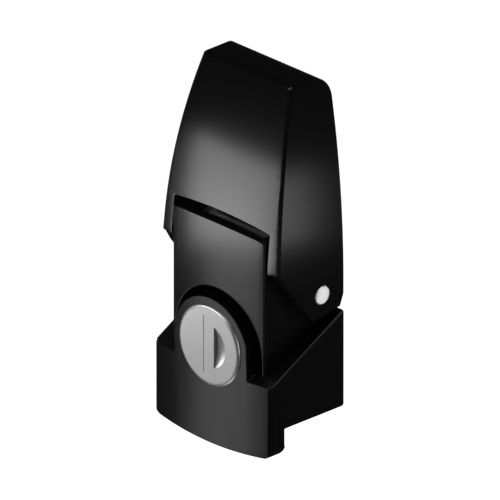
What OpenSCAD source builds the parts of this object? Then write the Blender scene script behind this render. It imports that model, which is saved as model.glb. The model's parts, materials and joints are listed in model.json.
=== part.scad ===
// Lockable draw latch: a handle with a finger lip and a key lock, a claw that
// reaches over the keeper, and a bracket that four screws hold on the panel.
// X runs to the right, Y from the front back to the panel, Z up.
// The origin is on the panel, at the centre of the four screw holes.

/* [Handle] */
// Half of the handle's width
handle_half = 18.6; // [18:0.1:18.9]
// Depth of the handle from the panel to the middle of its front
handle_depth = 23.5; // [23:0.1:24]
// Radius of the front as seen from above
handle_crown_r = 196; // [160:1:240]
// Height of the side walls at the panel
handle_back_h = 23.55; // [22:0.05:24]
// Slope of the walls' upper edges
handle_slope = 0.554; // [0.5:0.002:0.58]
// Thickness of the floor
floor_t = 2; // [1.5:0.1:2.2]
// How far the finger lip hangs below the floor
lip_drop = 7.7; // [6:0.1:8]
// Thickness of the finger lip at its sides
lip_t = 4.4; // [4:0.1:5]
// Radius of the lip's lower outline
lip_outline_r = 115; // [90:1:150]
// Radius of the lock boss
boss_r = 11; // [10.6:0.1:11.4]

/* [Lever frame] */
// Half of the lever frame's width
frame_half = 14.6; // [14.4:0.05:14.7]
// Depth of the tongue from the panel to the middle of its front
tongue_depth = 21.2; // [20.8:0.1:21.3]
// Radius of the tongue's front as seen from above
tongue_crown_r = 167; // [140:1:200]
// Height of the tongue's top edge above the handle's bottom
tongue_top = 45.5; // [44:0.1:45.8]
// Thickness of the frame's side walls
frame_wall = 1.85; // [1.6:0.05:1.9]
// Radius of the arch round the lock boss
arch_r = 13.5; // [13.1:0.1:13.6]

/* [Claw] */
// Height of the claw's top above the handle's bottom
claw_top = 80; // [79:0.1:80.4]
// Radius of the claw's front as seen from above
claw_crown_r = 200; // [180:1:240]
// Radius of the claw's front as seen from the side
claw_front_r = 150; // [140:1:160]
// Radius of the claw's flanks as seen from the front
claw_flank_r = 250; // [240:1:260]
// Thickness of the claw's shell
claw_wall = 2.4; // [2:0.1:2.8]
// Half of the width of the notch for the tongue
notch_half = 15.15; // [15.05:0.05:15.2]
// Height of the middle of the notch above the handle's bottom
notch_top = 47.8; // [47:0.1:48.2]
// Depth of the steel hook's lip
hook_lip = 3.4; // [2.5:0.1:4]

/* [Lock] */
// Radius of the lock's flange
flange_r = 9.45; // [9.2:0.05:9.6]
// Radius of the lock's barrel
barrel_r = 8; // [7.6:0.1:8.2]
// Radius of the plug
plug_r = 6.45; // [6:0.05:6.6]
// Depth of the plug's face from the panel
face_depth = 23.9; // [23.7:0.1:24.2]
// Reach of the cam from the plug's axis
cam_reach = 11; // [10:0.1:11.2]

/* [Bracket] */
// Half of the bracket's width
bracket_half = 12.3; // [12:0.05:12.3]
// Thickness of the bracket's sheet
sheet_t = 1.6; // [1.4:0.1:1.8]
// Distance between the screw holes across the latch
hole_spacing_x = 15.6; // [15:0.1:16]
// Distance between the screw holes along the latch
hole_spacing_z = 18; // [16:0.5:18]
// Radius of the screw holes
hole_r = 2.25; // [2:0.05:2.4]

/* [Hidden] */
$fn = 96;

// Height of the panel holes' centre above the handle's bottom
holes_up = 16;
// Gap between the moving parts and the panel
panel_gap = 0.2;
// Radial clearance of a running fit
running = 0.05;
// Fulcrum of the lever and pin of the claw: depth from the panel, height
fulcrum_y = -12;
fulcrum_z = 38;
fulcrum_r = 2;
pin_y = -6.7;
pin_z = 29.1;
pin_r = 2.3;
pin_half = 18.75;
// Height of the lock's axis
lock_z = 16.1;

// Handle
corner_r = 0.75;
overshoot = 0.03;
lip_corner_r = 3;
lip_back_r = 3.2;
lip_back_y = lip_t + drop(handle_crown_r, handle_half) - handle_depth;
boss_back_y = -15;
shell_gap = 0.05;
seal_t = 0.4;
flange_back_y = -22.2;
flange_front_y = -23.75;

// Lever frame
tongue_t = 2.1;
tongue_chamfer = 0.8;
tongue_rise_r = 180;
frame_back_y = -0.5;
frame_eye_r = 7;
frame_inner = frame_half - frame_wall;

// Screws that hold the handle on the lever frame: depths, height, sizes
frame_screw_ys = [-15, -4.5];
frame_screw_z = 7;
frame_screw_r = 1.5;
frame_screw_head_r = 2.6;
frame_screw_head_h = 1.3;
frame_screw_tip_x = 16.6;

// Claw
claw_half = handle_half;
claw_arc_z = 28.8;
claw_front_z = 37.3;
claw_back_z = 27.6;
claw_apex_y = -21.4;
claw_flank_z = 31;
claw_arch_r = 320;
claw_tip = [-9.5, 23.4];
claw_heel = [-1.2, 24.8];
claw_back_r = 5.4;
claw_corner_r = 1;
claw_inner_half = 15.15;
claw_roof_t = 2.8;
tongue_sweep_r = 21.6;
notch_r = 97.4;
notch_back_y = -17.8;

// Steel hook: thickness, depths of its front and back edges, screws
hook_t = 2;
hook_front_y = -10.2;
hook_back_y = -1.4;
hook_w = 19;
hook_screw_x = 6;
hook_screw_y = -7.2;
hook_screw_r = 1.25;
hook_screw_head_r = 2.2;
hook_screw_head_h = 1.4;

// Lock
disc_r = 8.95;
disc_back_y = -22.95;
barrel_back_y = -11.4;
plug_back_y = -10.4;
slot_half = 1.6;
slot_long = 13.8;
slot_deep = 0.5;
dish_r = 5.3;
dish_wall = 0.4;
dish_cap = 1.3;
dish_sphere_r = (dish_r * dish_r + dish_cap * dish_cap) / (2 * dish_cap);
tail_w = 6;
cam_t = 2;
cam_back_y = -6.3;
cam_w = 8;
cam_corner_r = 2;
cam_hub_r = 5.2;
clip_r = plug_r + 1.1;
clip_t = 0.6;
clip_gap = 4;
washer_t = 0.6;
lock_washer_r = 10;
nut_flats = 19;
nut_t = 2.5;
cam_washer_r = 4.1;
cam_screw_r = 1.6;
cam_screw_front_y = -13;
cam_screw_head_r = 3.3;
cam_screw_head_h = 1.8;
cross_long = 5.2;
cross_w = 0.8;
cross_deep = 0.8;

// Bracket
plate_bottom = 3;
plate_top = 43;
ear_t = 2;
ear_r = 4.5;
catch_half = 3.6;
catch_lip_y = -10.4;
catch_lip_top = 9.2;
catch_foot_t = 1.4;
catch_foot_h = 9;
rivet_x = catch_half / 2;
rivet_z = 9.6;
rivet_r = 1.2;
rivet_head_r = 1.7;
rivet_head_h = 0.7;

black = [0.05, 0.05, 0.055];
steel = [0.75, 0.76, 0.78];
bright = [0.9, 0.9, 0.92];
rubber = [0.12, 0.12, 0.12];

// How far an arc of radius r falls away at x from its middle
function drop(r, x) = r - sqrt(r * r - x * x);

// Points along an arc, from one angle to another, for the round corners
function arc(x, y, r, from, to) = [for (i = [0:8]) let (a = from + (to - from) * i / 8)
    [x + r * cos(a), y + r * sin(a)]];

// The same points on the other side of the middle, in the reverse order
function flipped(points) = [for (i = [len(points) - 1:-1:0]) [-points[i][0], points[i][1]]];

// Moves a piece drawn from the handle's bottom edge to the screw holes' centre
module seat() {
    translate([0, 0, -holes_up]) children();
}

// Extrudes a side view, drawn as depth and height, across the latch
module across(width) {
    rotate([90, 0, 90]) linear_extrude(width, center = true) children();
}

// Extrudes a front view from one depth to another
module between(front_y, back_y) {
    translate([0, back_y, 0]) rotate([90, 0, 0]) linear_extrude(back_y - front_y) children();
}

// A round bar along the latch's width
module bar_x(r, from, to) {
    translate([from, 0, 0]) rotate([0, 90, 0]) cylinder(r = r, h = to - from);
}

// A round bar along the latch's depth, from one depth to another
module bar_y(r, front_y, back_y) {
    translate([0, back_y, 0]) rotate([90, 0, 0]) cylinder(r = r, h = back_y - front_y);
}

// Both sides of the latch
module both() {
    children();
    mirror([1, 0, 0]) children();
}

// Everything in front of the panel and behind a crowned front, seen from above
module crowned_plan(half, apex_y, crown_r, back_y) {
    intersection() {
        translate([-half, apex_y - 1]) square([2 * half, back_y - apex_y + 1]);
        translate([0, apex_y + crown_r]) circle(r = crown_r, $fn = 720);
    }
}

// Bracket on the panel

module bracket_side() {
    intersection() {
        union() {
            translate([fulcrum_y, fulcrum_z]) circle(r = ear_r);
            polygon([[0, plate_top], [fulcrum_y, fulcrum_z + ear_r],
                [fulcrum_y, fulcrum_z - ear_r], [0, plate_top - 12]]);
        }
        translate([-30, 0]) square([30, plate_top]);
    }
}

module bracket() color(steel) seat() difference() {
    union() {
        translate([-bracket_half, -sheet_t, plate_bottom])
            cube([2 * bracket_half, sheet_t, plate_top - plate_bottom]);
        both() translate([bracket_half - ear_t / 2, 0, 0]) across(ear_t) bracket_side();
    }
    for (x = [-1, 1], z = [-1, 1])
        translate([x * hole_spacing_x / 2, 0, holes_up + z * hole_spacing_z / 2])
            bar_y(hole_r, -sheet_t - 1, 1);
    translate([0, fulcrum_y, fulcrum_z]) bar_x(fulcrum_r, -20, 20);
    for (x = [-1, 1])
        translate([x * rivet_x, 0, rivet_z]) bar_y(rivet_r, -sheet_t - 1, 1);
}

module fulcrum_pin() color(bright) seat() translate([0, fulcrum_y, fulcrum_z])
    bar_x(fulcrum_r, 0.2 - frame_half, frame_half - 0.2);

module fulcrum_spacer() color(steel) seat() translate([0, fulcrum_y, fulcrum_z]) difference() {
    bar_x(fulcrum_r + 1.1, ear_t - bracket_half, bracket_half - ear_t);
    bar_x(fulcrum_r, -20, 20);
}

// Angle that the cam turns behind
module lock_catch() color(steel) seat() difference() {
    across(2 * catch_half) union() {
        translate([-sheet_t - catch_foot_t, plate_bottom]) square([catch_foot_t, catch_foot_h]);
        translate([catch_lip_y, plate_bottom]) square([-catch_lip_y - sheet_t, sheet_t]);
        translate([catch_lip_y, plate_bottom]) square([sheet_t, catch_lip_top - plate_bottom]);
    }
    for (x = [-1, 1])
        translate([x * rivet_x, 0, rivet_z]) bar_y(rivet_r, -sheet_t - 2, 0);
}

module catch_rivets() color(steel) seat() for (x = [-1, 1])
    translate([x * rivet_x, 0, rivet_z]) {
        bar_y(rivet_r, -sheet_t - catch_foot_t, 0);
        bar_y(rivet_head_r, -sheet_t - catch_foot_t - rivet_head_h, -sheet_t - catch_foot_t);
    }

// Lever frame with its tongue

module frame_side() {
    difference() {
        union() {
            translate([fulcrum_y, fulcrum_z]) circle(r = frame_eye_r);
            polygon([[-26, floor_t], [frame_back_y, floor_t], [frame_back_y, pin_z + 3.4],
                [fulcrum_y + frame_eye_r, fulcrum_z], [fulcrum_y, tongue_top - 0.5],
                [fulcrum_y - 1, tongue_top + 1], [-26, tongue_top + 1]]);
        }
        // Chamfer along the tongue's top edge
        polygon([[-26, tongue_top - 5], [-tongue_depth, tongue_top - tongue_chamfer],
            [tongue_chamfer - tongue_depth, tongue_top], [-16, tongue_top + 5], [-26, tongue_top + 5]]);
    }
}

module frame_front() {
    intersection() {
        translate([-frame_half, 0]) square([2 * frame_half, tongue_top + 1]);
        translate([0, tongue_top - tongue_rise_r]) circle(r = tongue_rise_r, $fn = 720);
    }
}

module frame_arch() {
    translate([0, lock_z]) circle(r = arch_r);
    translate([-arch_r, 0]) square([2 * arch_r, lock_z]);
}

module lever_frame() color(black) seat() difference() {
    intersection() {
        linear_extrude(60) crowned_plan(frame_half, -tongue_depth, tongue_crown_r, 0);
        across(40) frame_side();
        between(-26, 1) frame_front();
    }
    translate([-frame_inner, tongue_t - tongue_depth, 0]) cube([2 * frame_inner, 30, 60]);
    between(-26, tongue_t - tongue_depth) frame_arch();
    translate([0, fulcrum_y, fulcrum_z]) bar_x(fulcrum_r + running, -20, 20);
    translate([0, pin_y, pin_z]) bar_x(pin_r + running, -20, 20);
    for (y = frame_screw_ys)
        translate([0, y, frame_screw_z]) bar_x(frame_screw_r, -20, 20);
}

// Handle with the finger lip and the lock boss

module handle_plan() {
    edge_x = handle_half - corner_r;
    edge_y = drop(handle_crown_r, edge_x) - handle_depth + corner_r - overshoot;
    right = concat([[edge_x - overshoot, -26]], arc(edge_x, edge_y, corner_r, -90, 0),
        [[handle_half, -panel_gap]]);
    intersection() {
        polygon(concat(right, flipped(right)));
        translate([0, handle_crown_r - handle_depth]) circle(r = handle_crown_r, $fn = 720);
    }
}

module handle_side() {
    polygon(concat([[-26, handle_back_h - 26 * handle_slope], [0, handle_back_h], [0, 0.7], [-0.9, 0],
        [lip_back_y, 0]], arc(lip_back_y - lip_back_r, lip_back_r - lip_drop, lip_back_r, 0, -90),
        [[-26, -lip_drop]]));
}

module handle_front() {
    edge_x = handle_half - lip_corner_r;
    edge_z = drop(lip_outline_r, edge_x) - lip_drop + lip_corner_r - overshoot;
    right = concat([[edge_x - overshoot, -20]], arc(edge_x, edge_z, lip_corner_r, -90, 0),
        [[handle_half, 40]]);
    intersection() {
        polygon(concat(right, flipped(right)));
        translate([0, lip_outline_r - lip_drop]) circle(r = lip_outline_r, $fn = 720);
    }
}

module boss_front() {
    translate([0, lock_z]) circle(r = boss_r);
    translate([-boss_r, floor_t]) square([2 * boss_r, lock_z - floor_t]);
}

module handle_shell() color(black) seat() difference() {
    intersection() {
        translate([0, 0, -10]) linear_extrude(60) handle_plan();
        union() {
            difference() {
                intersection() {
                    across(40) handle_side();
                    between(-26, 1) handle_front();
                }
                translate([0, 0, floor_t]) linear_extrude(60)
                    crowned_plan(frame_half, -tongue_depth - shell_gap, tongue_crown_r, 5);
            }
            between(-26, boss_back_y) boss_front();
        }
    }
    translate([0, 0, lock_z]) bar_y(barrel_r, -30, 0);
    translate([0, 0, lock_z]) bar_y(flange_r, -30, flange_back_y);
    for (y = frame_screw_ys)
        translate([0, y, frame_screw_z]) bar_x(frame_screw_r, -frame_screw_tip_x, frame_screw_tip_x);
}

module frame_screws() color(steel) seat() both() for (y = frame_screw_ys)
    translate([0, y, frame_screw_z]) {
        bar_x(frame_screw_r, frame_inner, frame_screw_tip_x);
        bar_x(frame_screw_head_r, frame_inner - frame_screw_head_h, frame_inner);
    }

// Lock

module lock_housing() color(bright) seat() translate([0, 0, lock_z]) difference() {
    union() {
        bar_y(barrel_r, flange_back_y - seal_t, barrel_back_y);
        bar_y(flange_r, flange_front_y, flange_back_y - seal_t);
    }
    bar_y(plug_r + running, -30, 0);
    bar_y(disc_r + running, -30, disc_back_y + running);
}

module flange_seal() color(rubber) seat() translate([0, 0, lock_z]) difference() {
    bar_y(flange_r - 0.15, flange_back_y - seal_t, flange_back_y);
    bar_y(barrel_r, -30, 0);
}

module lock_washer() color(steel) seat() translate([0, 0, lock_z]) difference() {
    bar_y(lock_washer_r, boss_back_y, boss_back_y + washer_t);
    bar_y(barrel_r, -30, 0);
}

module lock_nut() color(steel) seat() translate([0, 0, lock_z]) difference() {
    translate([0, boss_back_y + washer_t + nut_t, 0]) rotate([90, 0, 0])
        cylinder(r = nut_flats / 2 / cos(30), h = nut_t, $fn = 6);
    bar_y(barrel_r, -30, 0);
}

module lock_plug() color(bright) seat() translate([0, 0, lock_z]) difference() {
    union() {
        bar_y(disc_r, -face_depth, disc_back_y);
        bar_y(plug_r, disc_back_y, plug_back_y);
        translate([-tail_w / 2, plug_back_y, -tail_w / 2])
            cube([tail_w, cam_back_y - plug_back_y, tail_w]);
    }
    translate([-slot_half, -30, -slot_long / 2])
        cube([2 * slot_half, 30 - face_depth + slot_deep, slot_long]);
    // Half-moon dish to the right of the slot
    intersection() {
        union() {
            bar_y(dish_r, -30, dish_wall - face_depth);
            translate([0, dish_wall + dish_cap - face_depth - dish_sphere_r, 0])
                sphere(r = dish_sphere_r);
        }
        translate([slot_half, -30, -10]) cube([20, 30, 20]);
    }
    bar_y(cam_screw_r, cam_screw_front_y, 0);
}

module plug_clip() color(steel) seat() translate([0, 0, lock_z]) difference() {
    bar_y(clip_r, barrel_back_y + 0.1, barrel_back_y + 0.1 + clip_t);
    bar_y(plug_r, -30, 0);
    translate([-clip_gap / 2, -20, -20]) cube([clip_gap, 20, 20]);
}

// The cam points sideways in the unlocked latch
module lock_cam() color(steel) seat() translate([0, 0, lock_z]) difference() {
    between(cam_back_y - cam_t, cam_back_y) union() {
        circle(r = cam_hub_r);
        translate([0, -cam_w / 2]) square([cam_reach - cam_corner_r, cam_w]);
        translate([0, cam_corner_r - cam_w / 2]) square([cam_reach, cam_w - 2 * cam_corner_r]);
        for (z = [-1, 1])
            translate([cam_reach - cam_corner_r, z * (cam_w / 2 - cam_corner_r)]) circle(r = cam_corner_r);
    }
    translate([-tail_w / 2, -20, -tail_w / 2]) cube([tail_w, 20, tail_w]);
}

module cam_washer() color(steel) seat() translate([0, 0, lock_z]) difference() {
    bar_y(cam_washer_r, cam_back_y, cam_back_y + washer_t);
    bar_y(cam_screw_r, -30, 0);
}

module cam_screw() color(steel) seat() translate([0, 0, lock_z]) {
    head_front_y = cam_back_y + washer_t;
    head_back_y = head_front_y + cam_screw_head_h;
    bar_y(cam_screw_r, cam_screw_front_y, head_front_y);
    difference() {
        bar_y(cam_screw_head_r, head_front_y, head_back_y);
        for (size = [[cross_long, cross_w], [cross_w, cross_long]])
            translate([-size[0] / 2, head_back_y - cross_deep, -size[1] / 2])
                cube([size[0], cross_deep + 1, size[1]]);
    }
}

// Claw

module claw_pin() color(bright) seat() translate([0, pin_y, pin_z])
    bar_x(pin_r, -pin_half, pin_half);

// Front of the claw, drawn as distance from the axis of its crown and height
module claw_front_profile(inset) {
    axis_y = claw_apex_y + claw_crown_r;
    centre_x = claw_crown_r - claw_front_r;
    intersection() {
        translate([centre_x, claw_arc_z]) circle(r = claw_front_r - inset, $fn = 720);
        translate([axis_y - 5, 10]) square([40, 90]);
    }
}

module claw_front_body(inset) {
    translate([0, claw_apex_y + claw_crown_r, 0]) rotate([0, 0, 262])
        rotate_extrude(angle = 16, $fn = 720) claw_front_profile(inset);
}

module claw_flanks(inset) {
    intersection() {
        translate([claw_half - claw_flank_r, claw_flank_z]) circle(r = claw_flank_r - inset, $fn = 720);
        translate([claw_flank_r - claw_half, claw_flank_z]) circle(r = claw_flank_r - inset, $fn = 720);
    }
}

module claw_outline() {
    corner_z = claw_top - claw_corner_r;
    corner_x = claw_half - drop(claw_flank_r, corner_z - claw_flank_z) - claw_corner_r;
    arch_top = claw_top + drop(claw_arch_r, corner_x);
    right = concat([[30, 20], [30, corner_z - 1]],
        arc(corner_x + overshoot, corner_z + overshoot, claw_corner_r, 0, 90), [[corner_x, 90]]);
    intersection() {
        claw_flanks(0);
        translate([0, arch_top - claw_arch_r]) circle(r = claw_arch_r, $fn = 720);
        polygon(concat(right, flipped(right)));
    }
}

module claw_side() {
    back_y = -panel_gap - claw_back_r;
    polygon(concat([[-26, claw_front_z], [-20.1, claw_front_z], [-19.3, claw_front_z - 0.4], claw_tip,
        claw_heel, [-panel_gap, claw_back_z]],
        arc(back_y, claw_top - claw_back_r + overshoot, claw_back_r, 0, 90), [[back_y, 90], [-26, 90]]));
}

module claw_notch() {
    intersection() {
        translate([-notch_half, 20]) square([2 * notch_half, 40]);
        translate([0, notch_top - notch_r]) circle(r = notch_r, $fn = 720);
    }
}

module hook_screw_places(z) {
    for (x = [-1, 1])
        translate([x * hook_screw_x, hook_screw_y, z]) children();
}

module claw_hollow() {
    // Room for the lever frame as it turns on the pin
    translate([0, pin_y, pin_z]) bar_x(tongue_sweep_r, -claw_inner_half, claw_inner_half);
    // Room for the keeper
    intersection() {
        claw_front_body(claw_wall);
        between(-26, 5) intersection() {
            claw_flanks(claw_wall + 0.3);
            translate([-claw_inner_half, 40]) square([2 * claw_inner_half, claw_top - claw_roof_t - 40]);
        }
    }
}

module claw_shell() color(black) seat() difference() {
    intersection() {
        claw_front_body(0);
        between(-26, 0) claw_outline();
        across(40) claw_side();
    }
    claw_hollow();
    between(-26, notch_back_y) claw_notch();
    translate([0, pin_y, pin_z]) bar_x(pin_r, -20, 20);
    hook_screw_places(claw_top - claw_roof_t - 1) cylinder(r = hook_screw_r, h = claw_roof_t);
}

// Steel hook under the claw's roof, with its lip at the back
module hook_plate() color(steel) seat() difference() {
    roof = claw_top - claw_roof_t;
    across(hook_w) union() {
        translate([hook_front_y, roof - hook_t]) square([hook_back_y - hook_front_y, hook_t]);
        translate([hook_back_y - hook_t, roof - hook_t - hook_lip]) square([hook_t, hook_lip + 1]);
    }
    hook_screw_places(roof - hook_t - 1) cylinder(r = hook_screw_r, h = hook_t + 2);
}

module hook_screws() color(steel) seat() hook_screw_places(claw_top - claw_roof_t - hook_t) {
    cylinder(r = hook_screw_r, h = hook_t + claw_roof_t - 1);
    translate([0, 0, -hook_screw_head_h]) cylinder(r = hook_screw_head_r, h = hook_screw_head_h);
}

bracket();
fulcrum_pin();
fulcrum_spacer();
lock_catch();
catch_rivets();
lever_frame();
handle_shell();
frame_screws();
lock_housing();
flange_seal();
lock_washer();
lock_nut();
lock_plug();
plug_clip();
lock_cam();
cam_washer();
cam_screw();
claw_pin();
claw_shell();
hook_plate();
hook_screws();
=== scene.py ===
"""Looks of a lockable draw latch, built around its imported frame.

Pieces are drawn in millimetres and seated in the frame when they are finished. X points to the right,
Y into the panel, and Z up from the lower edge of the handle's sides.
"""

import json
import math

import bmesh
import bpy
from mathutils import Matrix, Vector

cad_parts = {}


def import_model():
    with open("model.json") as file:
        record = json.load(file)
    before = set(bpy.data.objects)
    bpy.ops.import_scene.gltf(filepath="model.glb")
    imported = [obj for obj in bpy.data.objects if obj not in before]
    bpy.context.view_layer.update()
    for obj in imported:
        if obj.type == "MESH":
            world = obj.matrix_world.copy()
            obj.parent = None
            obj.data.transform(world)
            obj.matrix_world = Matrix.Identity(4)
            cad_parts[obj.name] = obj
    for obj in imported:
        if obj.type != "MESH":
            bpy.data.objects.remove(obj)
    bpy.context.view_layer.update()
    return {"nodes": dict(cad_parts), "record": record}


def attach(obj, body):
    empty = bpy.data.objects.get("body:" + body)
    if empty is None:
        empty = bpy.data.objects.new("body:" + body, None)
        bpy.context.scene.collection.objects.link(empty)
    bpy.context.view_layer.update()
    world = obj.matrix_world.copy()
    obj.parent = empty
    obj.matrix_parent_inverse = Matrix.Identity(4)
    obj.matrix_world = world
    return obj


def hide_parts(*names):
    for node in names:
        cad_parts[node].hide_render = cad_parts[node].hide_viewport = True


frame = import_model()

MM = 0.001
HOLES_UP = 16.0
X, Y, Z = Vector((1, 0, 0)), Vector((0, 1, 0)), Vector((0, 0, 1))
SHADED_SHARP = math.radians(32)
ROUNDED_FROM = math.radians(30)


# Pins

PIN_Y, PIN_Z = -6.7, 29.1
PIN_R = 2.3
PIN_BORE_R = 2.35
PIN_HALF = 18.75
PIN_EDGE_R = 0.3
FULCRUM_Y, FULCRUM_Z = -12.0, 38.0
FULCRUM_BORE_R = 2.05

# Claw

CLAW_HALF = 18.7
CLAW_TOP = 79.985
CLAW_BOTTOM = 20.0
CLAW_APEX_Y = -21.4
CLAW_CROWN_R = 200.0
CLAW_FRONT_R = 150.0
CLAW_FRONT_Z = 28.8
CLAW_FLANK_R = 258.0
CLAW_FLANK_Z = 31.0
CLAW_ARCH_R = 320.0
CLAW_CORNER_R = 1.0
CLAW_BACK_R = 5.4
CLAW_BACK_Y = -0.2
CLAW_EDGE_R = 0.7
CLAW_WALL = 2.4
CLAW_ROOF_T = 2.8
CLAW_INNER_HALF = 15.15
CLAW_HOLLOW_BOTTOM = 40.0
CLAW_SOLID_Y = -18.6
CLAW_SHOULDER_Z = 37.3
CLAW_SLICED_HALF, CLAW_SLICED_TOP = 18.6, 78.0
CLAW_FLANK_TIP = [(-20.5, CLAW_SHOULDER_Z), (-19.7, 36.9), (-9.5, 23.4), (-1.2, 24.8), (CLAW_BACK_Y, 27.6)]
NOTCH_HALF = 15.15
NOTCH_TOP = 47.8
NOTCH_R = 97.4
NOTCH_BACK_Y = -17.8
NOTCH_EDGE_R = 0.3

# Tongue, the lever frame's front

TONGUE_HALF = 14.75
TONGUE_INNER_HALF = 12.75
TONGUE_FRONT_Y = -21.35
TONGUE_BACK_Y = -19.1
TONGUE_SOLID_Y = -19.3
TONGUE_CROWN_R = 167.0
TONGUE_TOP = 45.5
TONGUE_RISE_R = 180.0
TONGUE_ARCH_R = 13.5
TONGUE_ARCH_Z = 15.55
TONGUE_EDGE_R = 0.55
TONGUE_SWEEP_R = 21.6
FRAME_BOTTOM = 2.0
FRAME_BACK_Y = -0.5
FRAME_EYE_R = 7.0

# Handle

HANDLE_STRETCH = 1.007
HANDLE_HALF = 18.6
HANDLE_CORNER_R = 0.6
HANDLE_EDGE_R = 0.4
LIP_TOP = -4.0
LIP_EDGE_R = 0.2
APRON_Y = -20.5
SOLID_BOSS_R = 11.0
BOSS_R = 11.4
BOSS_FOOT_Y = -14.9
BOSS_HOLE_R = 9.45

# Lock

LOCK_Z = 16.1
LOCK_AXIS = (0, 0, LOCK_Z)
LOCK_FACE_Y = -23.9
DISC_R = 8.97
DISC_BACK_Y = -22.95
DISC_EDGE_R = 0.08
PLUG_R = 6.45
PLUG_END_Y = -10.4
PLUG_CHAMFER = 0.2
TAIL_HALF = 3.0
TAIL_END_Y = -6.3
CAM_SCREW_R = 1.6
RECESS_LEFT, RECESS_RIGHT = -1.65, 1.6
RECESS_HALF_HEIGHT = 6.9
RECESS_DEPTH = 0.1
DISH_SIDE_X = 1.75
DISH_R = 5.3
DISH_FLOOR_Y = -22.53
DISH_BOWL_R = 12.5
RIM_R = 9.65
RIM_EDGE_R = 0.6
RIM_INNER_R = 9.0
RIM_FRONT_Y = -23.87
FLANGE_R = 9.4
FLANGE_BACK_Y = -22.6
BARREL_R = 8.0
BARREL_END_Y = -11.4
NUT_FRONT_Y, NUT_BACK_Y = -14.4, -11.9
NUT_CORNER_R = 10.97
NUT_FACE_R = 9.6
NUT_CHAMFER = 0.6


# Mesh helpers

def drop(radius, x):
    """How far an arc falls away at x from its middle."""
    return radius - math.sqrt(radius * radius - x * x)


def arc(centre, radius, start, end, steps=8):
    """Points along an arc, from one angle to another, in degrees."""
    angles = [math.radians(start + (end - start) * i / steps) for i in range(steps + 1)]
    return [(centre[0] + radius * math.cos(a), centre[1] + radius * math.sin(a)) for a in angles]


def spread(start, end, pitch):
    """Places from start to end, both left out, about one pitch apart."""
    count = max(1, round((end - start) / pitch))
    return [start + (end - start) * i / count for i in range(1, count)]


def mirrored(outline):
    """An outline's points on the other side of the middle, in the order that goes on round."""
    return [(-x, other) for x, other in reversed(outline)]


def prism(outline, axis, start, end):
    """A closed outline extruded along an axis. It is drawn in the plane of the two other axes."""
    across, up = [side for side in (X, Y, Z) if side != axis]
    bm = bmesh.new()
    face = bm.faces.new([bm.verts.new(across * a + up * b + axis * start) for a, b in outline])
    grown = bmesh.ops.extrude_face_region(bm, geom=[face])
    moved = [v for v in grown["geom"] if isinstance(v, bmesh.types.BMVert)]
    bmesh.ops.translate(bm, verts=moved, vec=axis * (end - start))
    bmesh.ops.recalc_face_normals(bm, faces=bm.faces)
    return bm


def block(low, high):
    """A box between two corners."""
    bm = bmesh.new()
    low, high = Vector(low), Vector(high)
    bmesh.ops.create_cube(bm, size=1)
    bmesh.ops.scale(bm, verts=bm.verts, vec=high - low)
    bmesh.ops.translate(bm, verts=bm.verts, vec=(low + high) / 2)
    return bm


def bar(radius, start, end, axis, segments=96):
    """A round or many-sided bar between two points that lie along X or Y."""
    bm = bmesh.new()
    start, end = Vector(start), Vector(end)
    bmesh.ops.create_cone(bm, cap_ends=True, segments=segments, radius1=radius, radius2=radius,
                          depth=(end - start).length)
    turn = Matrix.Rotation(math.pi / 2, 3, "Y" if axis == X else "X")
    bmesh.ops.rotate(bm, verts=bm.verts, cent=(0, 0, 0), matrix=turn)
    bmesh.ops.translate(bm, verts=bm.verts, vec=(start + end) / 2)
    return bm


def turned(outline, axis, centre, segments=128):
    """An outline of radius and place along an axis, spun round it. It is closed, or ends on the axis."""
    bm = bmesh.new()
    centre = Vector(centre)
    start = centre.dot(axis)
    corners = [bm.verts.new(centre + Z * radius + axis * (place - start)) for radius, place in outline]
    for first, second in zip(corners, corners[1:]):
        bm.edges.new((first, second))
    if min(radius for radius, place in outline) > 0:
        bm.edges.new((corners[-1], corners[0]))
    bmesh.ops.spin(bm, geom=bm.verts[:] + bm.edges[:], cent=centre, axis=axis, angle=math.tau, steps=segments,
                   use_merge=True)
    bmesh.ops.remove_doubles(bm, verts=bm.verts, dist=1e-4)
    bmesh.ops.recalc_face_normals(bm, faces=bm.faces)
    return bm


def slice_along(bm, axis, places):
    """Cuts a shape's faces square to an axis, so that it can be bent."""
    for place in places:
        everything = bm.verts[:] + bm.edges[:] + bm.faces[:]
        bmesh.ops.bisect_plane(bm, geom=everything, dist=1e-4, plane_co=axis * place, plane_no=axis)


def scratch(bm):
    """A shape as an object for the time of a boolean."""
    mesh = bpy.data.meshes.new("scratch")
    bm.to_mesh(mesh)
    bm.free()
    piece = bpy.data.objects.new("scratch", mesh)
    bpy.context.scene.collection.objects.link(piece)
    return piece


def combine(first, second, operation):
    """An exact boolean of two shapes. Both are used up."""
    base, tool = scratch(first), scratch(second)
    step = base.modifiers.new("boolean", "BOOLEAN")
    step.operation = operation
    step.solver = "EXACT"
    step.object = tool
    shaped = base.evaluated_get(bpy.context.evaluated_depsgraph_get())
    bm = bmesh.new()
    bm.from_mesh(shaped.data)
    for piece in (base, tool):
        mesh = piece.data
        bpy.data.objects.remove(piece)
        bpy.data.meshes.remove(mesh)
    return bm


def cut(bm, *tools):
    """A shape without the space that the tools take."""
    for tool in tools:
        bm = combine(bm, tool, "DIFFERENCE")
    return bm


def taken(node):
    """A merged copy of a CAD node in the drawing's millimetres, its flat faces in one piece each."""
    bm = bmesh.new()
    bm.from_mesh(frame["nodes"][node].data)
    bmesh.ops.scale(bm, verts=bm.verts, vec=Vector((1, 1, 1)) / MM)
    bmesh.ops.translate(bm, verts=bm.verts, vec=Z * HOLES_UP)
    bmesh.ops.remove_doubles(bm, verts=bm.verts, dist=0.002)
    bmesh.ops.dissolve_limit(bm, angle_limit=math.radians(0.2), verts=bm.verts, edges=bm.edges,
                             use_dissolve_boundaries=False)
    return bm


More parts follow.
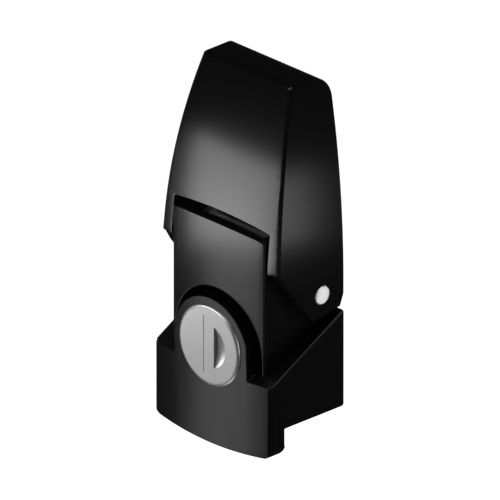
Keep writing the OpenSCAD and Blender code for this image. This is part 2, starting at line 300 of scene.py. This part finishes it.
def soften(bm, radius, segments=3, chosen=None):
    """Rounds a shape's sharp edges, or those of them that a test picks."""
    bm.normal_update()
    sharp = [e for e in bm.edges if len(e.link_faces) == 2 and e.calc_face_angle(0) > ROUNDED_FROM]
    edges = [e for e in sharp if chosen is None or chosen(e)]
    bmesh.ops.bevel(bm, geom=edges, offset=radius, offset_type="OFFSET", segments=segments, profile=0.5,
                    affect="EDGES", clamp_overlap=False, material=-1)
    return bm


def middle(edge):
    """The middle of an edge."""
    return (edge.verts[0].co + edge.verts[1].co) / 2


def from_lock(point):
    """A point's distance from the lock's axis."""
    return math.hypot(point.x, point.z - LOCK_Z)


def make_piece(name, bm, body, slot, stands_for):
    """Seats a drawn shape in the frame, as a finished piece that rides on a body."""
    bmesh.ops.remove_doubles(bm, verts=bm.verts, dist=0.001)
    bmesh.ops.translate(bm, verts=bm.verts, vec=-Z * HOLES_UP)
    bmesh.ops.scale(bm, verts=bm.verts, vec=Vector((1, 1, 1)) * MM)
    bm.normal_update()
    for face in bm.faces:
        face.smooth = True
    for edge in bm.edges:
        edge.smooth = len(edge.link_faces) == 2 and edge.calc_face_angle(0) < SHADED_SHARP
    mesh = bpy.data.meshes.new(name)
    bm.to_mesh(mesh)
    bm.free()
    mesh.materials.append(MATERIALS[slot])
    piece = bpy.data.objects.new(name, mesh)
    bpy.context.scene.collection.objects.link(piece)
    step = piece.modifiers.new("even normals", "WEIGHTED_NORMAL")
    step.keep_sharp = True
    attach(piece, body)
    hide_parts(stands_for)


# Shader helpers

class Value:
    """A socket whose sums and products add the Math nodes that work them out."""

    def __init__(self, finish, socket):
        self.finish = finish
        self.socket = socket

    def math(self, operation, other):
        return self.finish.node("ShaderNodeMath", {"operation": operation}, {0: self, 1: other}).out()

    def __add__(self, other):
        return self.math("ADD", other)

    def __mul__(self, other):
        return self.math("MULTIPLY", other)

    __radd__ = __add__
    __rmul__ = __mul__


class Node:
    """One shader node and its outputs."""

    def __init__(self, finish, node):
        self.finish = finish
        self.node = node

    def out(self, name=0):
        return Value(self.finish, self.node.outputs[name])


class Finish:
    """A material whose nodes are added one method call at a time."""

    def __init__(self, name):
        self.material = bpy.data.materials.new(name)
        self.material.use_nodes = True
        self.tree = self.material.node_tree
        self.shader = self.tree.nodes["Principled BSDF"]

    def node(self, kind, settings=None, sockets=None):
        """Adds a node, gives it its settings, and then values or links for its sockets."""
        made = self.tree.nodes.new(kind)
        for key, value in (settings or {}).items():
            setattr(made, key, value)
        for key, value in (sockets or {}).items():
            self.feed(made.inputs[key], value)
        return Node(self, made)

    def feed(self, socket, value):
        """Links a value to a socket, or sets it there."""
        if isinstance(value, Value):
            self.tree.links.new(value.socket, socket)
        else:
            socket.default_value = value

    def place(self, scale=(1, 1, 1)):
        """Object coordinates, scaled along each axis."""
        spot = self.node("ShaderNodeTexCoord").out("Object")
        settings = {"vector_type": "POINT"}
        return self.node("ShaderNodeMapping", settings, {"Vector": spot, "Scale": scale}).out()

    def noise(self, spot, scale, detail):
        """Fractal noise from 0 to 1."""
        return self.node("ShaderNodeTexNoise", {}, {
            "Vector": spot, "Scale": scale, "Detail": detail, "Roughness": 0.5}).out("Fac")

    def mix(self, share, first, second):
        """Two colours mixed by a share."""
        return self.node("ShaderNodeMix", {"data_type": "RGBA"}, {0: share, 6: first, 7: second}).out(2)

    def bump(self, height, strength, distance):
        """A normal from a height."""
        return self.node("ShaderNodeBump", {}, {
            "Height": height, "Strength": strength, "Distance": distance}).out()

    def surface(self, **sockets):
        """Feeds the shader's sockets, named with underscores for spaces."""
        for name, value in sockets.items():
            self.feed(self.shader.inputs[name.replace("_", " ")], value)
        return self.material


def grey(level, tint=(1, 1, 1)):
    """A grey with a slight tint, as a colour."""
    return tuple(level * t for t in tint) + (1,)


# Materials

def black_coat():
    """Smooth semi-gloss black coat, with a faint ripple and slightly uneven gloss."""
    finish = Finish("black_coat")
    spot = finish.place()
    ripple = finish.noise(spot, 900, 2)
    cloud = finish.noise(spot, 60, 3)
    colour = finish.mix(cloud, grey(0.0022), grey(0.0034))
    return finish.surface(Base_Color=colour, Roughness=0.21 + cloud * 0.02, IOR=1.5,
                          Normal=finish.bump(ripple, 0.05, 0.00002))


def zinc_steel():
    """Bright zinc plate on sheet steel, cloudy and a little blue."""
    finish = Finish("zinc_steel")
    spot = finish.place()
    cloud = finish.noise(spot, 180, 4)
    spangle = finish.noise(spot, 1500, 2)
    colour = finish.mix(cloud, grey(0.50, (0.97, 0.99, 1.02)), grey(0.66, (0.98, 1, 1.02)))
    return finish.surface(Base_Color=colour, Metallic=0.7, Roughness=0.34 + cloud * 0.14,
                          Normal=finish.bump(spangle, 0.15, 0.00004))


def bright_steel():
    """Ground and polished steel, with fine lines round the bar."""
    finish = Finish("bright_steel")
    lines = finish.noise(finish.place(scale=(6000, 200, 200)), 1, 2)
    cloud = finish.noise(finish.place(), 300, 2)
    colour = finish.mix(cloud, grey(0.80), grey(0.90))
    return finish.surface(Base_Color=colour, Metallic=0.85, Roughness=0.16 + cloud * 0.08,
                          Normal=finish.bump(lines, 0.1, 0.00002))


def lock_chrome():
    """Satin chrome plate on the lock's face and barrel."""
    finish = Finish("lock_chrome")
    cloud = finish.noise(finish.place(), 250, 3)
    grain = finish.noise(finish.place(scale=(300, 300, 6000)), 1, 2)
    colour = finish.mix(cloud, grey(0.345), grey(0.37))
    return finish.surface(Base_Color=colour, Metallic=0.85, Roughness=0.28 + cloud * 0.04,
                          Normal=finish.bump(grain, 0.06, 0.00002))


def seal_rubber():
    """Matt black rubber."""
    finish = Finish("seal_rubber")
    fine = finish.noise(finish.place(), 2500, 3)
    colour = finish.mix(fine, grey(0.015), grey(0.03))
    return finish.surface(Base_Color=colour, Roughness=0.7 + fine * 0.15,
                          Normal=finish.bump(fine, 0.3, 0.00003))


FINISHES = (black_coat, zinc_steel, bright_steel, lock_chrome, seal_rubber)
MATERIALS = {make.__name__: make() for make in FINISHES}


# Claw

def claw_half_at(z, inset=0.0):
    """Half of the claw's width at a height."""
    return CLAW_HALF - inset - drop(CLAW_FLANK_R, z - CLAW_FLANK_Z)


def claw_front_at(x, z, inset=0.0):
    """Depth of the claw's front at a place: an arc turned about the crown's axis."""
    rise = math.sqrt((CLAW_FRONT_R - inset) ** 2 - (z - CLAW_FRONT_Z) ** 2)
    radius = CLAW_CROWN_R - CLAW_FRONT_R + rise
    return CLAW_APEX_Y + CLAW_CROWN_R - math.sqrt(radius ** 2 - x ** 2)


def claw_front_view():
    """The claw's outline from the front: flanks, round corners and arched roof."""
    corner_z = CLAW_TOP - CLAW_CORNER_R
    corner_x = claw_half_at(corner_z) - CLAW_CORNER_R
    roof_drop = drop(CLAW_ARCH_R, corner_x)
    heights = [CLAW_BOTTOM, *spread(CLAW_BOTTOM, corner_z, 2.4), corner_z]
    right = [(claw_half_at(z), z) for z in heights]
    right += arc((corner_x, corner_z), CLAW_CORNER_R, 12, 88)
    roof = [(x, CLAW_TOP + roof_drop - drop(CLAW_ARCH_R, x)) for x in spread(-corner_x, corner_x, 2.4)]
    return [*right, *reversed(roof), *mirrored(right)]


def claw_side_view():
    """The claw's outline from the side: straight front, round back corner, and the flank's tip."""
    front_y = CLAW_APEX_Y - 2
    over = CLAW_TOP + 4
    round_back = arc((CLAW_BACK_Y - CLAW_BACK_R, CLAW_TOP - CLAW_BACK_R), CLAW_BACK_R, 0, 90, 12)
    return [(front_y, CLAW_SHOULDER_Z), *CLAW_FLANK_TIP, *round_back, (CLAW_BACK_Y - CLAW_BACK_R, over),
            (front_y, over)]


def claw_hollow():
    """Room for the keeper, open at the back."""
    low = (-CLAW_HALF, CLAW_APEX_Y - 1, CLAW_HOLLOW_BOTTOM)
    high = (CLAW_HALF, 2, CLAW_TOP - CLAW_ROOF_T)
    bm = block(low, high)
    slice_along(bm, X, spread(low[0], high[0], 3))
    slice_along(bm, Z, spread(low[2], high[2], 3))
    for v in bm.verts:
        v.co.x *= min(CLAW_INNER_HALF, claw_half_at(v.co.z, CLAW_WALL + 0.3)) / CLAW_HALF
        if v.co.y < 0:
            v.co.y = claw_front_at(v.co.x, v.co.z, CLAW_WALL)
    return bm


def claw_notch():
    """Room for the tongue, with an arched top."""
    places = [-NOTCH_HALF, *spread(-NOTCH_HALF, NOTCH_HALF, 2), NOTCH_HALF]
    top = [(x, NOTCH_TOP - drop(NOTCH_R, x)) for x in places]
    return prism([*top, (NOTCH_HALF, CLAW_BOTTOM), (-NOTCH_HALF, CLAW_BOTTOM)], Y, -26, NOTCH_BACK_Y)


def press_back(bm, front_y, solid_y, depth_at):
    """Bends a flat front with rounded edges to a curved one. Nothing behind the solid depth moves."""
    rounding = 0.7
    for v in bm.verts:
        share = min(1, max(0, (solid_y - v.co.y) / (solid_y - front_y - rounding)))
        v.co.y += share * (depth_at(v.co.x, v.co.z) - front_y)


def on_front(edge, front_y):
    """Whether an edge lies on a flat front."""
    return all(v.co.y < front_y + 0.01 for v in edge.verts)


def beside_notch(edge):
    """Whether an edge lies on the notch."""
    spot = middle(edge)
    return abs(spot.x) < NOTCH_HALF + 0.1 and spot.z < NOTCH_TOP + 0.1


def cross_bar(radius, half, y, z, segments):
    """A bar across the latch, at a depth and height."""
    return bar(radius, (-half, y, z), (half, y, z), X, segments)


def claw_shell():
    """Crowned shell: drawn with a flat front, notched and rounded, bent back, and then hollowed."""
    from_front, from_side = prism(claw_front_view(), Y, CLAW_APEX_Y, 0), prism(claw_side_view(), X, -25, 25)
    bm = cut(combine(from_front, from_side, "INTERSECT"), claw_notch())
    soften(bm, NOTCH_EDGE_R, 3, lambda edge: on_front(edge, CLAW_APEX_Y) and beside_notch(edge))
    soften(bm, CLAW_EDGE_R, 4, lambda edge: on_front(edge, CLAW_APEX_Y) and not beside_notch(edge))
    slice_along(bm, X, spread(-CLAW_SLICED_HALF, CLAW_SLICED_HALF, 2))
    slice_along(bm, Z, spread(CLAW_SHOULDER_Z, CLAW_SLICED_TOP, 2))
    press_back(bm, CLAW_APEX_Y, CLAW_SOLID_Y, claw_front_at)
    tongue_room = cross_bar(TONGUE_SWEEP_R, CLAW_INNER_HALF, PIN_Y, PIN_Z, 180)
    bm = cut(bm, tongue_room, claw_hollow(), cross_bar(PIN_R, 20, PIN_Y, PIN_Z, 48))
    make_piece("claw_cover", bm, "claw", "black_coat", "claw_shell")


# Handle and lever frame

def widen_boss(bm):
    """Moves the boss's round skin, and its sides below the lock, out to the wider radius."""
    ratio = BOSS_R / SOLID_BOSS_R
    for v in bm.verts:
        above = v.co.z > LOCK_Z
        reach = from_lock(v.co) if above else abs(v.co.x)
        if abs(reach - SOLID_BOSS_R) < 0.05 and v.co.y < BOSS_FOOT_Y:
            v.co.x *= ratio
            if above:
                v.co.z = LOCK_Z + (v.co.z - LOCK_Z) * ratio


def round_front_corners(bm):
    """Cuts the handle's two upright front edges round."""
    edge_y = min(v.co.y for v in bm.verts if abs(v.co.x) > HANDLE_HALF - 0.01)
    centre = (HANDLE_HALF - HANDLE_CORNER_R + 0.02, edge_y + HANDLE_CORNER_R - 0.13)
    right = [(centre[0], -40), *arc(centre, HANDLE_CORNER_R, -90, 0, 8), (40, centre[1]), (40, 10)]
    return combine(bm, prism([*right, *mirrored(right)], Z, -20, 90), "INTERSECT")


def stays_crisp(edge):
    """Whether an edge is the apron's top edge, or one of the boss's or its hole's."""
    first, second = edge.verts
    spot = middle(edge)
    apron_top = spot.y < APRON_Y and 9 < spot.z < 12.8 and abs(first.co.x - second.co.x) > 0.5
    at_hole = abs(from_lock(spot) - BOSS_HOLE_R) < 0.1
    on_boss = from_lock(first.co) < BOSS_R + 0.3 and from_lock(second.co) < BOSS_R + 0.3
    return apron_top or at_hole or on_boss


def on_lip(edge):
    """Whether an edge is the finger lip's."""
    return middle(edge).z < LIP_TOP


def in_front(edge):
    """Whether an edge lies in front of the handle's back."""
    return middle(edge).y < -1


def handle_shell():
    """The CAD handle with a wider boss and rounded edges."""
    bm = taken("handle_shell")
    widen_boss(bm)
    bm = round_front_corners(bm)
    soften(bm, HANDLE_EDGE_R, 3, lambda edge: in_front(edge) and not (on_lip(edge) or stays_crisp(edge)))
    soften(bm, LIP_EDGE_R, 2, lambda edge: in_front(edge) and on_lip(edge))
    bmesh.ops.scale(bm, verts=bm.verts, vec=(HANDLE_STRETCH, 1, 1))
    make_piece("handle_cover", bm, "lever", "black_coat", "handle_shell")


def tongue_front_at(x, z):
    """Depth of the tongue's crowned front, which is the same at every height."""
    return TONGUE_FRONT_Y + drop(TONGUE_CROWN_R, x)


def lever_frame():
    """Channel whose front runs up as a crowned tongue, arched over the boss, with eyes for the pins."""
    places = [-TONGUE_HALF, *spread(-TONGUE_HALF, TONGUE_HALF, 2), TONGUE_HALF]
    top = [(x, TONGUE_TOP - drop(TONGUE_RISE_R, x)) for x in places]
    front = prism([*top, (TONGUE_HALF, 0), (-TONGUE_HALF, 0)], Y, TONGUE_FRONT_Y, 0)
    eye = arc((FULCRUM_Y, FULCRUM_Z), FRAME_EYE_R, 0, 78, 12)
    side = [(-26, FRAME_BOTTOM), (FRAME_BACK_Y, FRAME_BOTTOM), (FRAME_BACK_Y, 32.5), *eye, (-13, 47),
            (-26, 47)]
    arch = [(TONGUE_ARCH_R, 0), *arc((0, TONGUE_ARCH_Z), TONGUE_ARCH_R, 0, 180, 60), (-TONGUE_ARCH_R, 0)]
    bm = combine(front, prism(side, X, -20, 20), "INTERSECT")
    bm = cut(bm, prism(arch, Y, -26, TONGUE_BACK_Y))
    foot = FRAME_BOTTOM + 0.1
    soften(bm, TONGUE_EDGE_R, 4, lambda edge: on_front(edge, TONGUE_FRONT_Y) and middle(edge).z > foot)
    slice_along(bm, X, spread(-TONGUE_HALF, TONGUE_HALF, 2))
    press_back(bm, TONGUE_FRONT_Y, TONGUE_SOLID_Y, tongue_front_at)
    bm = cut(bm, block((-TONGUE_INNER_HALF, TONGUE_BACK_Y, -1), (TONGUE_INNER_HALF, 5, 60)),
             cross_bar(FULCRUM_BORE_R, 20, FULCRUM_Y, FULCRUM_Z, 48),
             cross_bar(PIN_BORE_R, 20, PIN_Y, PIN_Z, 48))
    make_piece("tongue_frame", bm, "lever", "black_coat", "lever_frame")


# Lock

def moon_dish():
    """Half of a shallow round bowl, to the right of the recess."""
    reach = math.degrees(math.asin(DISH_R / DISH_BOWL_R))
    bowl = arc((0, DISH_FLOOR_Y - DISH_BOWL_R), DISH_BOWL_R, 90, 90 - reach, 16)
    half = block((DISH_SIDE_X, -40, 0), (20, 0, 40))
    return combine(turned([*bowl, (DISH_R, -30), (0, -30)], Y, LOCK_AXIS, 96), half, "INTERSECT")


def on_lock_face(edge):
    """Whether an edge is the recess's or the dish's on the lock's face."""
    return all(abs(v.co.y - LOCK_FACE_Y) < 0.01 for v in edge.verts) and from_lock(middle(edge)) < 8


def lock_plug():
    """Flat disc with an upright recess and a half-moon dish, on its barrel and square tail."""
    edge = arc((DISC_R - DISC_EDGE_R, LOCK_FACE_Y + DISC_EDGE_R), DISC_EDGE_R, -90, 0, 3)
    shoulder_y = PLUG_END_Y - PLUG_CHAMFER
    outline = [(0, LOCK_FACE_Y), *edge, (DISC_R, DISC_BACK_Y), (PLUG_R, DISC_BACK_Y), (PLUG_R, shoulder_y),
               (PLUG_R - PLUG_CHAMFER, PLUG_END_Y), (0, PLUG_END_Y)]
    tail = block((-TAIL_HALF, shoulder_y, LOCK_Z - TAIL_HALF), (TAIL_HALF, TAIL_END_Y, LOCK_Z + TAIL_HALF))
    soften(tail, 0.3, 2, lambda edge: middle(edge).y > TAIL_END_Y - 0.1)
    bm = combine(turned(outline, Y, LOCK_AXIS), tail, "UNION")
    recess = block((RECESS_LEFT, -30, LOCK_Z - RECESS_HALF_HEIGHT),
                   (RECESS_RIGHT, LOCK_FACE_Y + RECESS_DEPTH, LOCK_Z + RECESS_HALF_HEIGHT))
    bm = cut(bm, recess, moon_dish(), bar(CAM_SCREW_R, (0, -13, LOCK_Z), (0, 0, LOCK_Z), Y, 32))
    soften(bm, 0.06, 2, on_lock_face)
    make_piece("lock_face", bm, "plug", "lock_chrome", "lock_plug")


def lock_housing():
    """Barrel with a round-edged flange round the disc."""
    edge = arc((RIM_R - RIM_EDGE_R, RIM_FRONT_Y + RIM_EDGE_R), RIM_EDGE_R, 0, -90, 10)
    outline = [(BARREL_R, BARREL_END_Y - 0.2), (BARREL_R, FLANGE_BACK_Y), (FLANGE_R, FLANGE_BACK_Y),
               (FLANGE_R, -23.25), *edge, (RIM_INNER_R, RIM_FRONT_Y), (RIM_INNER_R, -22.9), (6.5, -22.9),
               (6.5, BARREL_END_Y), (BARREL_R - 0.2, BARREL_END_Y)]
    make_piece("lock_rim", turned(outline, Y, LOCK_AXIS), "lever", "lock_chrome", "lock_housing")


def lock_nut():
    """Hexagon nut with turned corners."""
    hexagon = bar(NUT_CORNER_R, (0, NUT_FRONT_Y, LOCK_Z), (0, NUT_BACK_Y, LOCK_Z), Y, 6)
    outer_r = NUT_CORNER_R + 0.13
    corners = turned([(0, NUT_FRONT_Y), (NUT_FACE_R, NUT_FRONT_Y), (outer_r, NUT_FRONT_Y + NUT_CHAMFER),
                      (outer_r, NUT_BACK_Y - NUT_CHAMFER), (NUT_FACE_R, NUT_BACK_Y), (0, NUT_BACK_Y)],
                     Y, LOCK_AXIS, 96)
    bm = cut(combine(hexagon, corners, "INTERSECT"), bar(BARREL_R, (0, -20, LOCK_Z), (0, -5, LOCK_Z), Y, 96))
    make_piece("hexagon_nut", bm, "lever", "zinc_steel", "lock_nut")


# Pins, screws and sheet parts

def claw_pin():
    """Pin across the claw, with turned ends."""
    end = arc((PIN_R - PIN_EDGE_R, PIN_HALF - PIN_EDGE_R), PIN_EDGE_R, 0, 90, 4)
    outline = [(0, -PIN_HALF), *[(radius, -place) for radius, place in reversed(end)], *end, (0, PIN_HALF)]
    make_piece("pin", turned(outline, X, (0, PIN_Y, PIN_Z), 64), "claw", "bright_steel", "claw_pin")


def softened(node, name, body, radius, segments=2):
    """A zinc-plated CAD node's shape with its sharp edges rounded."""
    make_piece(name, soften(taken(node), radius, segments), body, "zinc_steel", node)


def small_parts():
    """Sheet parts, rivets and screws."""
    softened("bracket", "sheet_bracket", "bracket", 0.25)
    softened("lock_catch", "catch_angle", "bracket", 0.2)
    softened("fulcrum_spacer", "spacer_tube", "bracket", 0.15)
    softened("catch_rivets", "rivets", "bracket", 0.3, 3)
    softened("frame_screws", "side_screws", "lever", 0.35, 3)
    softened("lock_cam", "cam", "plug", 0.2)
    softened("cam_screw", "cross_screw", "plug", 0.12)
    softened("hook_plate", "hook", "claw", 0.35, 3)
    softened("hook_screws", "roof_screws", "claw", 0.3, 3)


def finish_solids():
    """Gives each CAD node its material, for the ones that no piece replaces."""
    for row in frame["record"]["subparts"]:
        mesh = frame["nodes"][row["node"]].data
        mesh.materials.clear()
        mesh.materials.append(MATERIALS[row["material_slot"]])


# Stage

def camera():
    """Parallel view from the front right and above, as the photograph's."""
    azimuth, elevation = math.radians(46), math.radians(24.5)
    back = Vector((math.sin(azimuth) * math.cos(elevation), -math.cos(azimuth) * math.cos(elevation),
                   math.sin(elevation)))
    data = bpy.data.cameras.new("camera")
    data.type = "ORTHO"
    data.ortho_scale = 0.1111
    data.clip_end = 10
    eye = bpy.data.objects.new("camera", data)
    eye.location = Vector((0, -0.01105, 0.0194)) + back * 0.8
    eye.rotation_mode = "QUATERNION"
    eye.rotation_quaternion = (-back).to_track_quat("-Z", "Y")
    bpy.context.scene.collection.objects.link(eye)
    bpy.context.scene.camera = eye


def collection_of(name, piece):
    """A collection with one object."""
    made = bpy.data.collections.new(name)
    made.objects.link(bpy.data.objects[piece])
    return made


def lamp(name, place, target, width, height, power, only=None):
    """A light panel that faces a target, in metres and watts. It may light one piece alone."""
    data = bpy.data.lights.new(name, "AREA")
    data.shape = "RECTANGLE"
    data.size = width
    data.size_y = height
    data.energy = power
    light = bpy.data.objects.new(name, data)
    light.location = place
    light.rotation_mode = "QUATERNION"
    light.rotation_quaternion = (Vector(target) - Vector(place)).to_track_quat("-Z", "Y")
    bpy.context.scene.collection.objects.link(light)
    if only:
        light.light_linking.receiver_collection = collection_of(name, only)
        light.light_linking.blocker_collection = collection_of(name + " blockers", "floor")


def lamps():
    """Lamps for the photograph's highlights, fill for the other sides, and four for a single piece each."""
    lamp("tall front lamp", (-0.0731, -0.1081, -0.032), (0, -0.02, 0.024), 0.0366, 0.0982, 0.013)
    lamp("front lamp", (-0.0428, -0.0752, 0.017), (0, -0.02, 0.024), 0.0423, 0.0458, 0.024)
    lamp("side lamp", (0.0831, 0.0311, 0.012), (0.018, -0.009, 0.032), 0.0241, 0.0242, 0.0036)
    lamp("left lamp", (-0.118, 0.005, 0.018), (0, -0.02, 0.01), 0.05, 0.09, 0.023)
    lamp("key lamp", (-0.008, -0.1, 0.13), (0, -0.02, 0.005), 0.05, 0.05, 0.02)
    lamp("top lamp", (0.06, -0.035, 0.16), (0.01, -0.02, 0.01), 0.08, 0.06, 0.033)
    lamp("low lamp", (0.004, -0.032, -0.055), (0, -0.023, 0), 0.03, 0.03, 0.006)
    lamp("right lamp", (0.085, -0.115, -0.012), (0, -0.02, 0.02), 0.06, 0.06, 0.003)
    lamp("back lamp", (0.03, 0.15, 0.07), (0, -0.01, 0.02), 0.1, 0.1, 0.06)
    lamp("far left lamp", (-0.085, 0.095, -0.012), (0, -0.01, 0.02), 0.06, 0.06, 0.008)
    lamp("pin lamp", (0.0383, 0.0123, 0.0007), (0.0187, -0.0067, 0.0131), 0.014, 0.014, 0.00055, "pin")
    lamp("lock lamp", (-0.0925, -0.054, -0.0226), (0, -0.0235, 0), 0.054, 0.036, 0.028, "lock_face")
    lamp("rim side lamp", (0.105, -0.022, 0.012), (0.0095, -0.0235, 0), 0.03, 0.09, 0.03, "lock_rim")
    lamp("rim lamp", (-0.023, -0.134, 0.068), (0.003, -0.024, 0.009), 0.06, 0.04, 0.025, "lock_rim")


def floor():
    """White floor, bright enough to stay plain. The pieces don't mirror it."""
    bm = bmesh.new()
    bmesh.ops.create_grid(bm, x_segments=4, y_segments=4, size=6)
    bmesh.ops.translate(bm, verts=bm.verts, vec=(0, 0, -0.06))
    mesh = bpy.data.meshes.new("floor")
    bm.to_mesh(mesh)
    bm.free()
    finish = Finish("floor_white")
    finish.surface(Base_Color=grey(0.9), Roughness=0.9, Emission_Color=grey(1.0), Emission_Strength=1.0)
    mesh.materials.append(finish.material)
    ground = bpy.data.objects.new("floor", mesh)
    ground.visible_glossy = False
    bpy.context.scene.collection.objects.link(ground)


def world():
    """Faint even light from all round."""
    sky = bpy.data.worlds.new("studio")
    sky.use_nodes = True
    sky.node_tree.nodes["Background"].inputs["Color"].default_value = (1, 1, 1, 1)
    sky.node_tree.nodes["Background"].inputs["Strength"].default_value = 0.02
    bpy.context.scene.world = sky


camera()
floor()
world()
bpy.context.scene.view_settings.view_transform = "Standard"

claw_shell()
handle_shell()
lever_frame()
lock_plug()
lock_housing()
lock_nut()
claw_pin()
small_parts()
finish_solids()
lamps()
